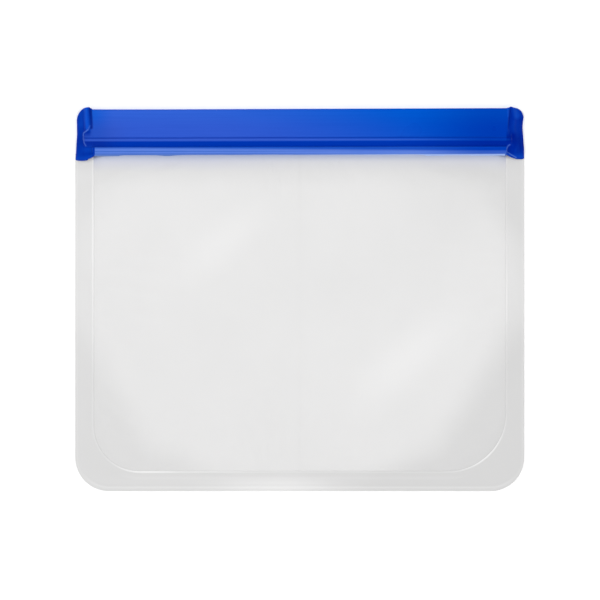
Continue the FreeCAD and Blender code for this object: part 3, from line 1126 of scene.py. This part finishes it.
def end_tab(name, box, side, shape, look):
    """One crushed zip end. Lengths out are measured outwards from the strip's end."""
    inner = side * WELD_RIGHT
    outer = side * RIGHT
    low = (min(inner, outer), box[0].y, -TAB_SINK)
    high = (max(inner, outer), LIP[1].y, LIP[1].z)
    tab = slab(name, low, high)
    round_corner(tab, outer, LIP[1].y, shape["corner"])
    cut(tab, 0, between(low[0], high[0], TAB_CELL))
    cut(tab, 1, between(low[1], high[1], TAB_CELL))
    points = points_of(tab)
    out = side * points[:, 0] - WELD_RIGHT
    y = points[:, 1]
    upper = points[:, 2] > LIP[1].z / 2
    profile = np.where(y < FOLD, strip_height(np.maximum(y, STRIP[0].y)), lip_height(points[:, 0], y))
    on_lip = ramp(y, FOLD - 1 * MM, FOLD + 2 * MM)
    crushed = 2.6 * MM - 0.9 * MM * ramp(out, 3 * MM, TAB_WIDTH)
    crushed += shape["ridge_height"] * swell(out, shape["ridge"], 2.4 * MM) * on_lip
    crushed += 0.05 * MM * np.sin(y * 900 + np.sin(out * 700) * 2) * ramp(out, 1 * MM, 3 * MM)
    take_lip = ramp(out, 0.3 * MM, 2.0 * MM)
    up = y - STRIP[0].y
    reach = shape["reach"] * ramp(up, 3.8 * MM, 4.3 * MM) + 0.4 * MM
    take_zip = ramp(out, reach - 0.7 * MM, reach + 0.5 * MM)
    take = take_zip + (take_lip - take_zip) * on_lip
    top = profile * (1 - take) + crushed * take
    crease = path_mask(out, y, shape["crease"], shape["crease_width"])
    top -= shape["crease_drop"] * crease
    pale = np.zeros(len(points))
    for path, amount in shape["pale"]:
        pale = np.maximum(pale, amount * path_mask(out, y, path, 0.5 * MM))
    top += 0.25 * MM * pale
    top -= 0.6 * MM * ramp(out, 7.2 * MM, TAB_WIDTH) ** 2
    top -= 0.6 * MM * (1 - ramp(y, box[0].y, box[0].y + 0.8 * MM)) * ramp(out, 0.5 * MM, 2.5 * MM)
    points[upper, 2] = top[upper]
    # Painted highlights along the tab's ridge and near its low edge.
    tab_highlight = np.zeros(len(points))
    for path, width, amount in shape["tab_highlight"]:
        tab_highlight = np.maximum(tab_highlight, amount * path_mask(out, y, path, width))
    # Painted shade where the groove runs on into the crushed end, and in the crease.
    groove_shade = path_mask(out, y, shape["groove_shade"], 4.5 * MM) * shape["groove_shade_amount"]
    dark = np.maximum(crease * shape["crease_shade"], groove_shade)
    attribute(tab, "melted", take)
    tab_highlight += 0.5 * (1 - ramp(y, box[0].y, box[0].y + 3.5 * MM)) * take
    attribute(tab, "tab_highlight", np.clip(tab_highlight, 0, 1))
    attribute(tab, "crease", np.clip(dark, 0, 1))
    attribute(tab, "pale", np.clip(pale * 0.7, 0, 1))
    points[:, 0] -= side * by_steps(y, *shape["edge"]) * ramp(out, 3 * MM, TAB_WIDTH)
    hem = by_steps(out, *shape["hem"]) - box[0].y
    points[:, 1] += hem * (1 - ramp(y, box[0].y, box[0].y + 5 * MM))
    points[:, 1] += by_steps(out, *shape["brow"]) * ramp(y, LIP[1].y - 6 * MM, LIP[1].y)
    share = ramp(y, box[0].y, box[0].y + 6 * MM) * tilt_share(y)
    points[:, 1] += side * ZIP_TILT * WELD_RIGHT * share
    put_points(tab, points)
    smooth(tab, 50)
    tab.data.materials.append(look)
    return tab


# In each shape, the highlight paths are painted highlights, the groove path is painted shade, and the crease
# path both dips the top and is darkened as painted shade.
LEFT_SHAPE = {
    "corner": 5.2 * MM,
    "ridge": 2.9 * MM,
    "ridge_height": 0.9 * MM,
    "reach": 4.2 * MM,
    "brow": ([0.0, 0.3, 1.2, 1.9, 2.6, 4.6, 6.6, 8.8], [0.0, 0.1, 0.7, 1.2, 1.1, 0.8, 0.45, 0.0]),
    "edge": ([66.1, 70.4, 75.7, 79.2, 83.4, 88.0], [0.1, 0.4, 0.65, 0.9, 0.8, 0.7]),
    "hem": ([0.0, 2.2, 3.2, 6.0, 8.8], [68.0, 67.1, 66.3, 66.1, 66.4]),
    "crease": [(1.3, 92.0), (0.9, 86.0), (0.8, 82.0)],
    "crease_width": 1.0 * MM,
    "crease_drop": 0.6 * MM,
    "crease_shade": 0.75,
    "groove_shade": [(4.5, 79.0), (6.0, 76.0)],
    "groove_shade_amount": 0.25,
    "tab_highlight": [
        ([(3.6, 90.5), (3.2, 86.0), (2.6, 82.0)], 2.2 * MM, 1.0),
        ([(6.6, 88.5), (6.4, 84.0)], 2.6 * MM, 0.25),
        ([(3.5, 71.5), (0.6, 71.5)], 3.0 * MM, 0.35),
    ],
    "pale": [
        ([(1.6, 83.0), (2.4, 81.1)], 0.5),
        ([(2.4, 81.1), (3.4, 80.3), (4.9, 79.5), (5.1, 78.4)], 1.0),
        ([(5.0, 78.2), (5.0, 76.6), (4.5, 75.0), (3.5, 73.3)], 0.7),
    ],
}
RIGHT_SHAPE = {
    "corner": 4.0 * MM,
    "ridge": 3.2 * MM,
    "ridge_height": 0.45 * MM,
    "reach": 2.2 * MM,
    "brow": ([0.0, 1.1, 2.1, 2.9, 3.6, 6.2, 8.8], [0.0, 0.3, 0.8, 0.6, 0.3, -0.05, -0.3]),
    "edge": ([66.9, 71.7, 77.2, 81.6, 84.0, 86.4, 88.5], [0.0, 0.1, 0.5, 0.85, 0.7, 0.35, 0.4]),
    "hem": ([0.0, 0.7, 2.4, 4.8, 7.5, 8.8], [69.0, 68.6, 67.8, 67.0, 66.9, 67.1]),
    "crease": [(2.4, 91.6), (1.6, 87.0), (0.9, 81.0)],
    "crease_width": 0.55 * MM,
    "crease_drop": 0.2 * MM,
    "crease_shade": 0.5,
    "groove_shade": [(1.5, 77.5), (6.0, 76.0), (7.5, 73.5)],
    "groove_shade_amount": 0.7,
    "tab_highlight": [
        ([(0.9, 90.5), (0.9, 87.0)], 0.8 * MM, 0.8),
        ([(4.4, 90.2), (5.2, 87.5)], 3.0 * MM, 0.5),
        ([(3.6, 84.0), (3.2, 80.0)], 2.4 * MM, 0.2),
    ],
    "pale": [
        ([(0.0, 69.3), (0.1, 71.4), (0.9, 73.0), (1.7, 73.5)], 0.8),
        ([(0.2, 69.0), (2.4, 68.1), (4.8, 67.4)], 1.0),
    ],
}


# ---- Make the bag --------------------------------------------------------------------------

frost = frost_group()
die_lines = die_line_group()
soft_shade = soft_shade_group()
FRONT_FILM = film_material("front_frosted_film", frost, soft_shade, 0.56)
BACK_FILM = film_material("back_frosted_film", frost, soft_shade, 0.62)
WELD = weld_material(frost, soft_shade)
zip_blue = zip_blue_group(die_lines)
BLUE = zip_material(zip_blue)
CRUSHED = crushed_material(zip_blue)

film_left, film_right = front_film_halves(FRONT_FILM)
back_sheet = back_film_sheet(BACK_FILM)
border = welded_border(WELD)
left_tab = end_tab("left_crushed_end", LEFT_TAB, -1, LEFT_SHAPE, CRUSHED)
right_tab = end_tab("right_crushed_end", RIGHT_TAB, 1, RIGHT_SHAPE, CRUSHED)

bending = []
for side, hand in ((-1, "left"), (1, "right")):
    strip = zip_half(f"front_strip_{hand}", side, BLUE)
    upper = bead_half(f"upper_bead_{hand}", UPPER_BEAD, side, BLUE)
    lower = bead_half(f"lower_bead_{hand}", LOWER_BEAD, side, BLUE)
    lip_end = lip_piece(f"front_lip_{hand}_end", side * MOUTH_MIDDLE, side * WELD_RIGHT, BLUE)
    for piece in (strip, upper, lower, lip_end):
        bending.append((piece, side))
    lip_middle = lip_piece(f"front_lip_{hand}_middle", 0.0, side * MOUTH_MIDDLE, BLUE)
    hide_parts("front_lip")
    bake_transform(lip_middle)
    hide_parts("front_zip_strip")
    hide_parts("upper_zip_bead")
    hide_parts("lower_zip_bead")
    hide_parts("front_lip")
for piece, side in bending:
    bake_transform(piece)
for piece, side in ((film_left, -1), (film_right, 1)):
    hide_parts("front_film")
    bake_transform(piece)

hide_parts("back_film")
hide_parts("left_side_weld", "right_side_weld", "bottom_weld")
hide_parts("left_end_weld")
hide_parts("right_end_weld")
for piece in (back_sheet, border, left_tab, right_tab):
    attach(piece, BACK)

for name in ("back_zip_strip", "back_lip", "upper_zip_channel", "lower_zip_channel"):
    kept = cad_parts[name]
    kept.data.materials.clear()
    kept.data.materials.append(BLUE)

# ---- Floor, light and camera ---------------------------------------------------------------

FLOOR_REACH = 2.5
FLOOR_DROP = 0.3 * MM
floor = flat_face("floor", (-FLOOR_REACH, -FLOOR_REACH), (FLOOR_REACH, FLOOR_REACH), -FLOOR_DROP)
floor.data.materials.append(floor_material())


def softbox(name, place, size, power, aim=(0.0, 0.0, 0.0)):
    lamp = bpy.data.lights.new(name, "AREA")
    lamp.shape = "RECTANGLE"
    lamp.size, lamp.size_y = size
    lamp.energy = power
    holder = bpy.data.objects.new(name, lamp)
    bpy.context.collection.objects.link(holder)
    holder.location = place
    holder.rotation_mode = "QUATERNION"
    holder.rotation_quaternion = (Vector(aim) - Vector(place)).to_track_quat("-Z", "Y")


softbox("overhead_left", (-0.12, 0.22, 1.15), (0.34, 0.50), 1.2)
softbox("far_left", (-1.3, 0.5, 1.2), (0.9, 0.9), 13)
softbox("far_right", (1.3, 0.4, 1.2), (0.9, 0.9), 11)
softbox("near_side", (0.0, -1.4, 1.2), (1.2, 0.8), 9)

# How strong the white surroundings are: as light, how much less in reflections, and as seen.
WORLD_LIGHT = 0.62
GLOSSY_DROP = 0.55
WORLD_SEEN = 1.1
world = bpy.data.worlds.new("studio")
world.use_nodes = True
bpy.context.scene.world = world
tree = world.node_tree
background = tree.nodes["Background"]
path = node(tree, "ShaderNodeLightPath")
glossy = minus(tree, WORLD_LIGHT, times(tree, path.outputs["Is Glossy Ray"], GLOSSY_DROP))
strength = node(tree, "ShaderNodeMix", data_type="FLOAT")
join(tree, path.outputs["Is Camera Ray"], strength.inputs["Factor"])
join(tree, glossy, strength.inputs["A"])
strength.inputs["B"].default_value = WORLD_SEEN
background.inputs["Color"].default_value = WHITE
join(tree, strength.outputs["Result"], background.inputs["Strength"])

VIEW_WIDTH = 287.6 * MM
LENS = 120.0
SENSOR = 36.0
camera = bpy.data.cameras.new("camera")
camera.lens = LENS
camera.sensor_width = SENSOR
camera_holder = bpy.data.objects.new("camera", camera)
bpy.context.collection.objects.link(camera_holder)
camera_holder.location = (0.12 * MM, -0.52 * MM, VIEW_WIDTH * LENS / SENSOR)
bpy.context.scene.camera = camera_holder
bpy.context.scene.view_settings.view_transform = "Standard"
